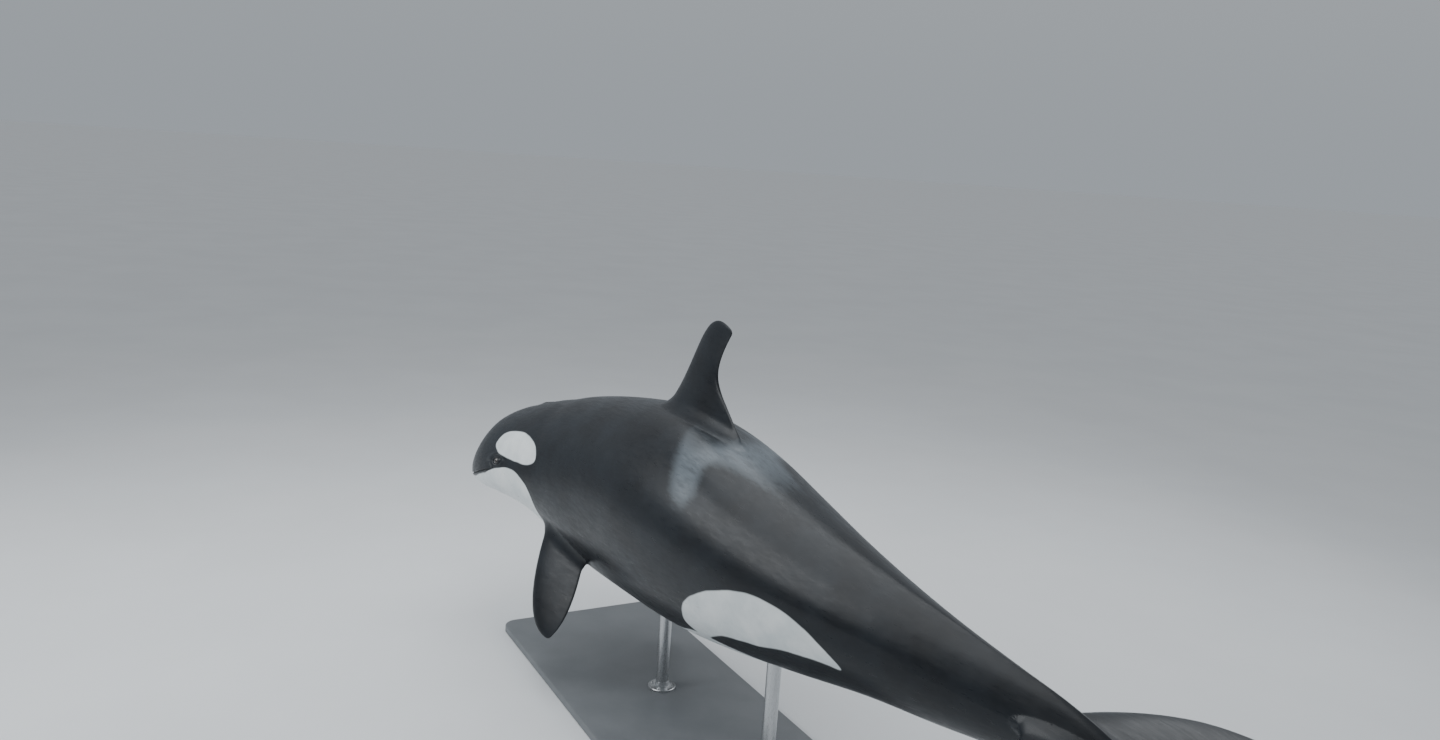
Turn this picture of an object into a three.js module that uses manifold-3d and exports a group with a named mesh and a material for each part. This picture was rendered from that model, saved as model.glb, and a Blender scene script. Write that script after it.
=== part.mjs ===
import * as THREE from "three";
import { mergeVertices } from "three/addons/utils/BufferGeometryUtils.js";
import Module from "manifold-3d";

// A life-size adult female orca, swimming in a gentle double bend, on a plain display stand.
// Millimetres, +Z up, the flukes towards +X and the animal's left towards -Y.
//
// Every form of the animal is drawn on a straight spine first: x is the distance from the tip
// of the snout, y is to the animal's right and z is up from the spine. The function bend()
// then lays the drawn point along the bent spine.

const wasm = await Module();
wasm.setup();

// Driving dimensions of the animal
const LENGTH = 5600; // tip of the snout to the notch of the flukes
const GAP = 0.3; // between two pieces that touch

// The pose, in degrees: the head hangs, turns to the animal's left and rolls its left side up,
// and the tail stock hangs and swings to the right
const MIDDLE = 0.45 * LENGTH; // the spine is level and straight ahead here
const HEAD_BEND_LENGTH = 0.4 * LENGTH;
const TAIL_BEND_LENGTH = 0.5 * LENGTH;
const HEAD_DROP = 10.6;
const HEAD_TURN = 26.6;
const HEAD_ROLL = 16;
const ROLL_START = 0.4 * LENGTH;
const ROLL_LENGTH = 0.3 * LENGTH;
const TAIL_DROP = -3.7;
const TAIL_TURN = 10.1;
const SPINE_HEIGHT = 1260; // middle of the spine above the floor
const SPINE_STEP = 10;

// Sections of the body: distance from the snout, top, bottom, half width, height of the
// greatest width, and fullness of the upper and the lower half, where 2 is an ellipse
const SECTIONS = [
  [0, -30, -30, 0, -30, 2, 2],
  [14, 20, -66, 48, -28, 2, 2],
  [56, 102, -112, 94, -32, 2, 2.1],
  [112, 178, -146, 138, -36, 2, 2.2],
  [196, 258, -174, 190, -38, 2, 2.2],
  [280, 318, -196, 232, -40, 2, 2.2],
  [420, 376, -230, 287, -42, 2, 2.2],
  [560, 411, -264, 330, -44, 2, 2.2],
  [700, 434, -308, 364, -44, 2.05, 2.2],
  [840, 451, -354, 392, -42, 2.1, 2.2],
  [1120, 489, -458, 444, -40, 2.1, 2.2],
  [1568, 536, -586, 504, -36, 2.1, 2.2],
  [2016, 570, -614, 528, -28, 2.1, 2.2],
  [2352, 568, -600, 524, -20, 2.1, 2.2],
  [2800, 520, -556, 486, -10, 2.05, 2.2],
  [3248, 430, -482, 420, 0, 2, 2.1],
  [3696, 344, -386, 336, 10, 1.9, 2],
  [4144, 276, -288, 246, 16, 1.75, 1.85],
  [4480, 232, -236, 180, 22, 1.6, 1.7],
  [4816, 190, -170, 122, 26, 1.5, 1.6],
  [5040, 160, -122, 90, 26, 1.45, 1.6],
  [5264, 104, -70, 66, 18, 1.5, 1.7],
  [5400, 50, -34, 44, 8, 1.7, 1.8],
  [5480, 24, -20, 26, 2, 1.9, 1.9],
];
const SNOUT_END = SECTIONS[0][0];
const STOCK_END = SECTIONS[SECTIONS.length - 1][0];
const AROUND = 44; // points round a section

// Lengths that the body is parted into
const HEAD_END = 924;
const CHEST_END = 1904;
const MIDBODY_END = 3136;
const ABDOMEN_END = 4144;
const HEAD_RINGS = 22;
const RING_SPACING = 125;

// Mouth, at each distance from the snout the height of its line, and its corner
const MOUTH_LINE = [
  [0, -66],
  [60, -78],
  [160, -84],
  [280, -76],
  [400, -66],
  [476, -66],
];
const MOUTH_CORNER = MOUTH_LINE[MOUTH_LINE.length - 1];
const THROAT_CUT = [640, -420]; // the jaw's rear face runs from the corner down to here
const CUT_AHEAD = -90; // the block that cuts the jaw free starts ahead of the snout
const CUT_HALF_WIDTH = 520;
const CUT_STEPS = 12;
const JAW_CUT_STEPS = 10;
const LIP_RADIUS = 24;
const LIP_SUNK = 13;
const CORNER_TAPER = 0.55; // of the lips, at the corner of the mouth
const FRONT_TAPER = 0.25; // of the lips, at the snout
const MOUTH_GROOVE_RADIUS = 7;
const MOUTH_STEPS = 13;

// Eyes, just above and behind the corners of the mouth
const EYE_X = 545;
const EYE_Z = -8;
const EYE_RADIUS = 32;
const EYE_SUNK = 20;
const LID_HALF_LENGTH = 36;
const LID_HALF_HEIGHT = 22;
const LID_RADIUS = 11;
const LID_STEPS = 16;

// Blowhole, a crescent with its horns forward
const BLOWHOLE_X = 712;
const BLOWHOLE_HALF_WIDTH = 62;
const BLOWHOLE_BOW = 34;
const BLOWHOLE_RIM_RADIUS = 30;
const BLOWHOLE_RIM_SUNK = 20;
const BLOWHOLE_SLIT_RADIUS = 9;
const BLOWHOLE_TAPER = 0.6; // of the rim and the slit, at the horns
const BLOWHOLE_STEPS = 8;
const BAR_SIDES = 8; // round the lips, lids and blowhole

// Blades: the edges of each fin, from its root to its tip
const SPAN_STEPS = 14;
const CHORD_STEPS = 9;
const EDGE_HALF_THICKNESS = 3;

// Dorsal fin, edge points as distance from the snout and height above the spine
const DORSAL_LEADING = [[1890, 500], [2320, 850], [2270, 1280], [2642, 1112]];
const DORSAL_TRAILING = [[2850, 470], [2640, 790], [2320, 710], [2642, 1112]];
const DORSAL_THICKNESS = 0.13;
const DORSAL_FLARE = 0.1;

// Flipper, edge points as distance behind its middle line and distance out from its root
const FLIPPER_X = 1400;
const FLIPPER_Y = 310;
const FLIPPER_Z = -260;
const FLIPPER_LEADING = [[-176, 0], [-214, 265], [-206, 700], [48, 768]];
const FLIPPER_TRAILING = [[176, 0], [176, 240], [236, 620], [48, 768]];
const FLIPPER_SPREAD = 20; // outward from straight down
const FLIPPER_SWEEP = 14; // backward from straight down
const FLIPPER_TWIST = 9; // leading edge turned outward
const FLIPPER_THICKNESS = 0.14;

// Flukes, edge points as distance from the snout and distance from the middle
const FLUKE_LEADING = [[4900, 0], [5010, 230], [5120, 700], [5490, 815]];
const FLUKE_TRAILING = [[5596, 0], [5690, 190], [5600, 540], [5490, 815]];
const FLUKE_THICKNESS = 0.11;
const FLUKE_DROOP = 34;

// Display stand
const BASE_LENGTH = 2900;
const BASE_WIDTH = 1150;
const BASE_CORNER_RADIUS = 90;
const BASE_THICKNESS = 50;
const BASE_BEVEL = 8;
const BASE_X = 2260; // under this distance from the snout, before the bend
const BASE_Y = -50;
const ROD_RADIUS = 38;
const ROD_FRONT_X = 2070;
const ROD_REAR_X = 3300;
const ROD_SIDES = 28;
const ROD_SUNK = 60; // the top runs this far into the belly before it is cut to its shape

// Materials
const skinBlack = new THREE.MeshStandardMaterial({ color: 0x14161a, roughness: 0.32, metalness: 0 });
const skinWhite = new THREE.MeshStandardMaterial({ color: 0xdfe3e2, roughness: 0.35, metalness: 0 });
const eyeDark = new THREE.MeshStandardMaterial({ color: 0x1b1310, roughness: 0.06, metalness: 0 });
const paintedBase = new THREE.MeshStandardMaterial({ color: 0x3a3d40, roughness: 0.55, metalness: 0.1 });
const steelRod = new THREE.MeshStandardMaterial({ color: 0x8f9498, roughness: 0.3, metalness: 1 });

const radians = THREE.MathUtils.degToRad;

// Slope of the curve through three neighbours of a table at its middle one
function slopeAt(at, values, i) {
  const last = at.length - 1;
  const before = i > 0 ? (values[i] - values[i - 1]) / (at[i] - at[i - 1]) : null;
  const after = i < last ? (values[i + 1] - values[i]) / (at[i + 1] - at[i]) : null;
  if (before === null) return after;
  if (after === null) return before;
  const stepBefore = at[i] - at[i - 1];
  const stepAfter = at[i + 1] - at[i];
  return (before * stepAfter + after * stepBefore) / (stepBefore + stepAfter);
}

// Smooth curve through the values of a table
function curveThrough(at, values, where) {
  let i = 0;
  while (i < at.length - 2 && where > at[i + 1]) i += 1;
  const step = at[i + 1] - at[i];
  const t = THREE.MathUtils.clamp((where - at[i]) / step, 0, 1);
  const startSlope = slopeAt(at, values, i) * step;
  const endSlope = slopeAt(at, values, i + 1) * step;
  const rise = values[i + 1] - values[i];
  const bulge = startSlope + endSlope - 2 * rise;
  const bow = 3 * rise - 2 * startSlope - endSlope;
  return values[i] + t * (startSlope + t * (bow + t * bulge));
}

// The square root of the distance spreads out the blunt snout
const sectionRoots = SECTIONS.map((row) => Math.sqrt(row[0]));
const sectionColumns = SECTIONS[0].map((_, column) => SECTIONS.map((row) => row[column]));

function sectionAt(x) {
  const root = Math.sqrt(Math.max(x, 0));
  const [, top, bottom, half, level, upper, lower] = sectionColumns.map((values) =>
    curveThrough(sectionRoots, values, root),
  );
  return { top, bottom, half, level, upper, lower };
}

// Half width of the body at a height
function halfWidthAt(x, z) {
  const { top, bottom, half, level, upper, lower } = sectionAt(x);
  const reach = z > level ? top - level : level - bottom;
  const fullness = z > level ? upper : lower;
  const share = Math.min(Math.abs(z - level) / reach, 1);
  return half * (1 - share ** fullness) ** (1 / fullness);
}

function mouthHeightAt(x) {
  const at = MOUTH_LINE.map((row) => row[0]);
  const heights = MOUTH_LINE.map((row) => row[1]);
  return curveThrough(at, heights, x);
}

// The bent spine
function easeIn(share) {
  const t = THREE.MathUtils.clamp(share, 0, 1);
  return t * t * (3 - 2 * t);
}

function spineTurns(x) {
  const head = easeIn((MIDDLE - x) / HEAD_BEND_LENGTH);
  const tail = easeIn((x - MIDDLE) / TAIL_BEND_LENGTH);
  return {
    rise: radians(HEAD_DROP * head + TAIL_DROP * tail),
    turn: radians(HEAD_TURN * head + TAIL_TURN * tail),
    roll: radians(HEAD_ROLL * easeIn((ROLL_START - x) / ROLL_LENGTH)),
  };
}

function spineDirection(x) {
  const { rise, turn } = spineTurns(x);
  return new THREE.Vector3(
    Math.cos(rise) * Math.cos(turn),
    Math.cos(rise) * Math.sin(turn),
    Math.sin(rise),
  );
}

const spineAhead = [new THREE.Vector3(0, 0, SPINE_HEIGHT)];
const spineBehind = [new THREE.Vector3(0, 0, SPINE_HEIGHT)];
for (let walked = 0; walked < LENGTH; walked += SPINE_STEP) {
  const ahead = spineDirection(MIDDLE - walked - SPINE_STEP / 2);
  const behind = spineDirection(MIDDLE + walked + SPINE_STEP / 2);
  spineAhead.push(spineAhead[spineAhead.length - 1].clone().addScaledVector(ahead, -SPINE_STEP));
  spineBehind.push(spineBehind[spineBehind.length - 1].clone().addScaledVector(behind, SPINE_STEP));
}

function spinePoint(x) {
  const walk = x < MIDDLE ? spineAhead : spineBehind;
  const steps = Math.abs(x - MIDDLE) / SPINE_STEP;
  const whole = Math.floor(steps);
  return walk[whole].clone().lerp(walk[whole + 1], steps - whole);
}

function spineFrame(x) {
  const { turn, roll } = spineTurns(x);
  const along = spineDirection(x);
  const level = new THREE.Vector3(-Math.sin(turn), Math.cos(turn), 0);
  const right = level.clone().applyAxisAngle(along, -roll);
  const up = along.clone().cross(right);
  return { along, right, up };
}

// Lays a point drawn on the straight spine along the bent one
function bend([x, y, z]) {
  const { right, up } = spineFrame(x);
  return spinePoint(x).addScaledVector(right, y).addScaledVector(up, z);
}

// The same for a stiff part, which turns with the spine at its root and doesn't bend
function turnWith(rootX, [x, y, z]) {
  const { along, right, up } = spineFrame(rootX);
  const at = spinePoint(rootX).addScaledVector(along, x - rootX);
  return at.addScaledVector(right, y).addScaledVector(up, z);
}

// A closed solid skinned over rings of points, where a ring of one point is a pole
function skinRings(rings) {
  const points = [];
  const triangles = [];
  const firsts = rings.map((ring) => {
    const first = points.length;
    points.push(...ring);
    return first;
  });
  const index = (r, i) => firsts[r] + (i % rings[r].length);
  for (let r = 0; r + 1 < rings.length; r += 1) {
    const count = Math.max(rings[r].length, rings[r + 1].length);
    for (let i = 0; i < count; i += 1) {
      if (rings[r].length > 1) triangles.push([index(r, i), index(r, i + 1), index(r + 1, i)]);
      if (rings[r + 1].length > 1) triangles.push([index(r, i + 1), index(r + 1, i + 1), index(r + 1, i)]);
    }
  }
  for (const r of [0, rings.length - 1]) {
    const count = rings[r].length;
    if (count === 1) continue;
    const middle = rings[r].reduce((sum, point) => sum.add(point), new THREE.Vector3());
    points.push(middle.divideScalar(count));
    for (let i = 0; i < count; i += 1) {
      const edge = r === 0 ? [index(r, i + 1), index(r, i)] : [index(r, i), index(r, i + 1)];
      triangles.push([points.length - 1, ...edge]);
    }
  }
  return solidFrom(points, triangles);
}

// A solid with its faces pointing out
function solidFrom(points, triangles) {
  const enclosed = triangles.reduce((sum, [a, b, c]) => {
    const normal = points[b].clone().cross(points[c]);
    return sum + points[a].dot(normal);
  }, 0);
  const outward = enclosed > 0 ? triangles : triangles.map(([a, b, c]) => [a, c, b]);
  return new wasm.Manifold(
    new wasm.Mesh({
      numProp: 3,
      vertProperties: new Float32Array(points.flatMap((point) => point.toArray())),
      triVerts: new Uint32Array(outward.flat()),
    }),
  );
}

function solidFromGeometry(geometry) {
  geometry.deleteAttribute("normal");
  geometry.deleteAttribute("uv");
  const merged = mergeVertices(geometry);
  return new wasm.Manifold(
    new wasm.Mesh({
      numProp: 3,
      vertProperties: new Float32Array(merged.attributes.position.array),
      triVerts: new Uint32Array(merged.index.array),
    }),
  );
}

// The largest closed surface of a solid
function largest(solid) {
  const pieces = solid.decompose();
  return pieces.reduce((kept, piece) => (piece.volume() > kept.volume() ? piece : kept));
}

// Body
function bodyRing(x, grown) {
  const { top, bottom, half, level, upper, lower } = sectionAt(x);
  return Array.from({ length: AROUND }, (_, i) => {
    const angle = (i / AROUND) * 2 * Math.PI;
    const across = Math.sin(angle);
    const up = Math.cos(angle);
    const power = 2 / (up > 0 ? upper : lower);
    const reach = grown + (up > 0 ? top - level : level - bottom);
    const y = (half + grown) * Math.sign(across) * Math.abs(across) ** power;
    const z = level + reach * Math.sign(up) * Math.abs(up) ** power;
    return bend([x, y, z]);
  });
}

function evenStations(from, to) {
  const steps = Math.round((to - from) / RING_SPACING);
  return Array.from({ length: steps + 1 }, (_, i) => from + ((to - from) * i) / steps);
}

const headStations = Array.from({ length: HEAD_RINGS }, (_, i) => {
  const root = (Math.sqrt(HEAD_END) * (i + 1)) / HEAD_RINGS;
  return root * root;
});

function bodyLength(from, to) {
  const stations = evenStations(from, to);
  stations[0] += GAP / 2;
  if (to < STOCK_END) stations[stations.length - 1] -= GAP / 2;
  return skinRings(stations.map((x) => bodyRing(x, 0)));
}

// The whole body behind the head, grown by the gap, that the fins and rods are cut with
const lengthEnds = [HEAD_END, CHEST_END, MIDBODY_END, ABDOMEN_END, STOCK_END];
const bodyStations = lengthEnds.slice(1).flatMap((end, i) => evenStations(lengthEnds[i], end).slice(1));
bodyStations[bodyStations.length - 1] += GAP;
const grownBody = skinRings([HEAD_END, ...bodyStations].map((x) => bodyRing(x, GAP)));

// A round bar along points, with a radius at each
function bar(points, radii) {
  const rings = points.map((point, i) => {
    const before = points[Math.max(i - 1, 0)];
    const after = points[Math.min(i + 1, points.length - 1)];
    const along = after.clone().sub(before).normalize();
    const first = new THREE.Vector3(0, 0, 1).cross(along).normalize();
    const second = along.clone().cross(first);
    return Array.from({ length: BAR_SIDES }, (_, k) => {
      const angle = (k / BAR_SIDES) * 2 * Math.PI;
      return point
        .clone()
        .addScaledVector(first, radii[i] * Math.cos(angle))
        .addScaledVector(second, radii[i] * Math.sin(angle));
    });
  });
  return skinRings(rings);
}

// How far behind the snout's end the line of the mouth crosses the middle
function mouthFront() {
  let x = 1;
  while (halfWidthAt(x, mouthHeightAt(x)) === 0) x += 1;
  return x;
}

function lipRadiusAt(share) {
  const corner = 1 - (1 - CORNER_TAPER) * share ** 8;
  return LIP_RADIUS * corner * (1 - FRONT_TAPER * (1 - share) ** 2);
}

// A bar along the line of the mouth, from the left corner round the snout to the right corner
function mouthBar(radiusAt, sunkAt) {
  const front = mouthFront();
  const placeAt = (share) => {
    const x = front + (MOUTH_CORNER[0] - front) * share ** 2;
    return [x, halfWidthAt(x, mouthHeightAt(x))];
  };
  const points = [];
  const radii = [];
  for (let i = -MOUTH_STEPS; i <= MOUTH_STEPS; i += 1) {
    const share = Math.abs(i) / MOUTH_STEPS;
    const [x, y] = placeAt(share);
    const [nextX, nextY] = placeAt(share + 0.5 / MOUTH_STEPS);
    const length = Math.hypot(nextX - x, nextY - y);
    const inward = i === 0 ? [1, 0] : [(nextY - y) / length, -(nextX - x) / length];
    const sunk = sunkAt(share);
    const across = Math.sign(i) * Math.max(y + inward[1] * sunk, 0);
    points.push(bend([x + inward[0] * sunk, across, mouthHeightAt(x)]));
    radii.push(radiusAt(share));
  }
  return bar(points, radii);
}

// Everything below the mouth's line and ahead of the jaw's rear face
function jawBlock(clearance) {
  const outline = [[CUT_AHEAD, mouthHeightAt(0) - clearance]];
  for (let i = 0; i <= JAW_CUT_STEPS; i += 1) {
    const x = (MOUTH_CORNER[0] * i) / JAW_CUT_STEPS;
    outline.push([x, mouthHeightAt(x) - clearance]);
  }
  outline[outline.length - 1][0] -= clearance;
  outline.push([THROAT_CUT[0] - clearance, THROAT_CUT[1]]);
  outline.push([CUT_AHEAD, THROAT_CUT[1]]);
  const rings = [];
  for (let i = 0; i <= CUT_STEPS; i += 1) {
    const y = CUT_HALF_WIDTH * ((2 * i) / CUT_STEPS - 1);
    rings.push(outline.map(([x, z]) => bend([Math.max(x, 0), y, z]).add(aheadOfSnout(x))));
  }
  return skinRings(rings);
}

function aheadOfSnout(x) {
  return spineDirection(SNOUT_END).multiplyScalar(Math.min(x, 0));
}

// Centre of an eye ball, sunk under the skin; side is -1 for the left and 1 for the right
function eyeCentre(side) {
  return bend([EYE_X, side * (halfWidthAt(EYE_X, EYE_Z) - EYE_SUNK), EYE_Z]);
}

function eyeBall(side, radius) {
  const centre = eyeCentre(side);
  const ball = new THREE.SphereGeometry(radius, 16, 10);
  return solidFromGeometry(ball.translate(centre.x, centre.y, centre.z));
}

function lidRing(side) {
  const rings = [];
  for (let i = 0; i < LID_STEPS; i += 1) {
    const angle = (i / LID_STEPS) * 2 * Math.PI;
    const ring = [];
    for (let k = 0; k < BAR_SIDES; k += 1) {
      const round = (k / BAR_SIDES) * 2 * Math.PI;
      const reach = LID_RADIUS * Math.cos(round);
      const x = EYE_X + (LID_HALF_LENGTH + reach) * Math.cos(angle);
      const z = EYE_Z + (LID_HALF_HEIGHT + reach) * Math.sin(angle);
      const out = LID_RADIUS * Math.sin(round);
      ring.push(bend([x, side * (halfWidthAt(x, z) + out), z]));
    }
    rings.push(ring);
  }
  return skinLoop(rings);
}

// A solid skinned over rings that close on themselves
function skinLoop(rings) {
  const around = rings[0].length;
  const triangles = [];
  const index = (r, i) => (r % rings.length) * around + (i % around);
  for (let r = 0; r < rings.length; r += 1) {
    for (let i = 0; i < around; i += 1) {
      triangles.push([index(r, i), index(r, i + 1), index(r + 1, i)]);
      triangles.push([index(r, i + 1), index(r + 1, i + 1), index(r + 1, i)]);
    }
  }
  return solidFrom(rings.flat(), triangles);
}

// The crescent of the blowhole
function blowholeBar(radius, sunk) {
  const points = [];
  const radii = [];
  for (let i = -BLOWHOLE_STEPS; i <= BLOWHOLE_STEPS; i += 1) {
    const share = i / BLOWHOLE_STEPS;
    const y = BLOWHOLE_HALF_WIDTH * share;
    const x = BLOWHOLE_X - BLOWHOLE_BOW * share * share;
    const { top, half, level, upper } = sectionAt(x);
    const z = level + (top - level) * (1 - (Math.abs(y) / half) ** upper) ** (1 / upper);
    points.push(bend([x, y, z - sunk]));
    radii.push(radius * (1 - BLOWHOLE_TAPER * share ** 4));
  }
  return bar(points, radii);
}

// Head, jaw and eyes
function buildHead() {
  const stations = headStations.slice();
  stations[stations.length - 1] -= GAP / 2;
  const snout = [bend([SNOUT_END, 0, sectionAt(0).top])];
  let head = skinRings([snout, ...stations.map((x) => bodyRing(x, 0))]);
  head = head.add(mouthBar(lipRadiusAt, () => LIP_SUNK));
  const grooveRadiusAt = () => MOUTH_GROOVE_RADIUS;
  head = head.subtract(mouthBar(grooveRadiusAt, (share) => LIP_SUNK - lipRadiusAt(share)));
  head = head.add(blowholeBar(BLOWHOLE_RIM_RADIUS, BLOWHOLE_RIM_SUNK));
  const slitDepth = BLOWHOLE_RIM_SUNK - BLOWHOLE_RIM_RADIUS;
  head = head.subtract(blowholeBar(BLOWHOLE_SLIT_RADIUS, slitDepth));
  for (const side of [-1, 1]) {
    head = head.add(lidRing(side));
    head = head.subtract(eyeBall(side, EYE_RADIUS + GAP));
  }
  return {
    skull: largest(head.subtract(jawBlock(0))),
    jaw: largest(head.intersect(jawBlock(GAP))),
  };
}

// A blade between a leading and a trailing edge, with the section of a swimming fin
function edge(points) {
  return new THREE.CubicBezierCurve(...points.map(([across, out]) => new THREE.Vector2(across, out)));
}

// Half thickness of a fin section over its chord, from 0 to 1, for a thickness of 1
function foil(u) {
  return 5 * (0.2969 * Math.sqrt(u) - 0.126 * u - 0.3516 * u ** 2 + 0.2843 * u ** 3 - 0.1015 * u ** 4);
}

function blade(leadingPoints, trailingPoints, thicknessAt, place) {
  const leading = edge(leadingPoints);
  const trailing = edge(trailingPoints);
  const rings = [];
  for (let k = 0; k < SPAN_STEPS; k += 1) {
    const v = Math.sin(((k / SPAN_STEPS) * Math.PI) / 2);
    const front = leading.getPoint(v);
    const back = trailing.getPoint(v);
    const chord = front.distanceTo(back);
    const face = (side) =>
      Array.from({ length: CHORD_STEPS }, (_, i) => {
        const u = 1 - Math.cos((((i + 1) / CHORD_STEPS) * Math.PI) / 2);
        const at = front.clone().lerp(back, u);
        const half = chord * thicknessAt(v) * foil(u) + EDGE_HALF_THICKNESS * u;
        return place(at.x, at.y, side * half);
      });
    rings.push([place(front.x, front.y, 0), ...face(1), ...face(-1).reverse()]);
  }
  const tip = leading.getPoint(1);
  rings.push([place(tip.x, tip.y, 0)]);
  return skinRings(rings);
}

function buildDorsalFin() {
  const thicknessAt = (v) => DORSAL_THICKNESS + DORSAL_FLARE * Math.max(1 - 4 * v, 0) ** 2;
  const fin = blade(DORSAL_LEADING, DORSAL_TRAILING, thicknessAt, (x, z, y) => bend([x, y, z]));
  return largest(fin.subtract(grownBody));
}

function buildFlipper(side) {
  const sweep = radians(FLIPPER_SWEEP);
  const spread = radians(FLIPPER_SPREAD);
  const twist = radians(FLIPPER_TWIST);
  const out = new THREE.Vector3(
    Math.sin(sweep),
    side * Math.cos(sweep) * Math.sin(spread),
    -Math.cos(sweep) * Math.cos(spread),
  );
  const back = new THREE.Vector3(1, 0, 0).addScaledVector(out, -out.x).normalize();
  back.applyAxisAngle(out, side * twist);
  const across = out.clone().cross(back);
  const root = new THREE.Vector3(FLIPPER_X, side * FLIPPER_Y, FLIPPER_Z);
  const place = (chordwise, spanwise, offset) => {
    const at = root.clone().addScaledVector(back, chordwise);
    at.addScaledVector(out, spanwise).addScaledVector(across, offset);
    return turnWith(FLIPPER_X, at.toArray());
  };
  const fin = blade(FLIPPER_LEADING, FLIPPER_TRAILING, () => FLIPPER_THICKNESS, place);
  return largest(fin.subtract(grownBody));
}

function buildFluke(side) {
  const span = FLUKE_LEADING[3][1];
  const place = (x, out, offset) => {
    const level = sectionAt(Math.min(x, STOCK_END)).level;
    const droop = FLUKE_DROOP * (out / span) ** 2;
    return bend([x, side * (out + GAP / 2), level - droop + offset]);
  };
  const fin = blade(FLUKE_LEADING, FLUKE_TRAILING, () => FLUKE_THICKNESS, place);
  return largest(fin.subtract(grownBody));
}

// Stand
function buildBase() {
  const outline = new THREE.Shape();
  const x = BASE_LENGTH / 2 - BASE_BEVEL;
  const y = BASE_WIDTH / 2 - BASE_BEVEL;
  const r = BASE_CORNER_RADIUS;
  outline.moveTo(-x + r, -y);
  outline.lineTo(x - r, -y);
  outline.absarc(x - r, -y + r, r, -Math.PI / 2, 0, false);
  outline.lineTo(x, y - r);
  outline.absarc(x - r, y - r, r, 0, Math.PI / 2, false);
  outline.lineTo(-x + r, y);
  outline.absarc(-x + r, y - r, r, Math.PI / 2, Math.PI, false);
  outline.lineTo(-x, -y + r);
  outline.absarc(-x + r, -y + r, r, Math.PI, 1.5 * Math.PI, false);
  const plate = new THREE.ExtrudeGeometry(outline, {
    depth: BASE_THICKNESS - 2 * BASE_BEVEL,
    bevelThickness: BASE_BEVEL,
    bevelSize: BASE_BEVEL,
    bevelSegments: 2,
    curveSegments: 8,
  });
  return solidFromGeometry(plate.translate(BASE_X - MIDDLE, BASE_Y, BASE_BEVEL));
}

function buildRod(x) {
  const foot = BASE_THICKNESS + GAP;
  const belly = bend([x, 0, sectionAt(x).bottom]);
  const height = belly.z + ROD_SUNK - foot;
  const rod = new THREE.CylinderGeometry(ROD_RADIUS, ROD_RADIUS, height, ROD_SIDES);
  rod.rotateX(Math.PI / 2);
  rod.translate(belly.x, belly.y, foot + height / 2);
  return largest(solidFromGeometry(rod).subtract(grownBody));
}

// The finished pieces
const orca = new THREE.Group();

function addPiece(name, solid, material) {
  const mesh = solid.getMesh();
  const geometry = new THREE.BufferGeometry();
  geometry.setAttribute("position", new THREE.BufferAttribute(mesh.vertProperties, 3));
  geometry.setIndex(new THREE.BufferAttribute(mesh.triVerts, 1));
  geometry.computeVertexNormals();
  const piece = new THREE.Mesh(geometry, material);
  piece.name = name;
  orca.add(piece);
}

const { skull, jaw } = buildHead();
addPiece("head", skull, skinBlack);
addPiece("lower_jaw", jaw, skinWhite);
addPiece("eye_left", eyeBall(-1, EYE_RADIUS), eyeDark);
addPiece("eye_right", eyeBall(1, EYE_RADIUS), eyeDark);
addPiece("chest", bodyLength(HEAD_END, CHEST_END), skinBlack);
addPiece("midbody", bodyLength(CHEST_END, MIDBODY_END), skinBlack);
addPiece("abdomen", bodyLength(MIDBODY_END, ABDOMEN_END), skinBlack);
addPiece("tail_stock", bodyLength(ABDOMEN_END, STOCK_END), skinBlack);
addPiece("dorsal_fin", buildDorsalFin(), skinBlack);
addPiece("flipper_left", buildFlipper(-1), skinBlack);
addPiece("flipper_right", buildFlipper(1), skinBlack);
addPiece("fluke_left", buildFluke(-1), skinBlack);
addPiece("fluke_right", buildFluke(1), skinBlack);
addPiece("stand_base", buildBase(), paintedBase);
addPiece("stand_rod_front", buildRod(ROD_FRONT_X), steelRod);
addPiece("stand_rod_rear", buildRod(ROD_REAR_X), steelRod);

// The origin lies on the floor under the middle of the whole
const reach = new THREE.Box3().setFromObject(orca);
const middle = reach.getCenter(new THREE.Vector3());
orca.position.set(-middle.x, -middle.y, -reach.min.z);

export default orca;
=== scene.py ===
import math

import bmesh
import bpy
import numpy as np
from mathutils import Matrix, Vector
from mathutils.bvhtree import BVHTree


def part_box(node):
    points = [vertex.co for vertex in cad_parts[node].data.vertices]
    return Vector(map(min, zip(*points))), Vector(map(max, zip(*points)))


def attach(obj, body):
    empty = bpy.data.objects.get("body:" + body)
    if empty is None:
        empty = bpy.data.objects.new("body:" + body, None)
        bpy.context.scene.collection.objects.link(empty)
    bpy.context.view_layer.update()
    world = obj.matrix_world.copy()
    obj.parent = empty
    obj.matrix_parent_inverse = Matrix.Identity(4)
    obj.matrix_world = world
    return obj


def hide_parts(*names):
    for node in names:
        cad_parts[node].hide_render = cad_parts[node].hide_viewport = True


# Looks of a life-size adult female orca on a plain display stand. Metres, +Z up, the flukes
# towards +X and the animal's left towards -Y.
#
# As in the solids, the animal is drawn on a straight spine: x is the distance from the tip of
# the snout, y is to the animal's right and z is up from the spine. bend() lays such a point
# along the bent spine, and unbend() takes it back.

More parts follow.
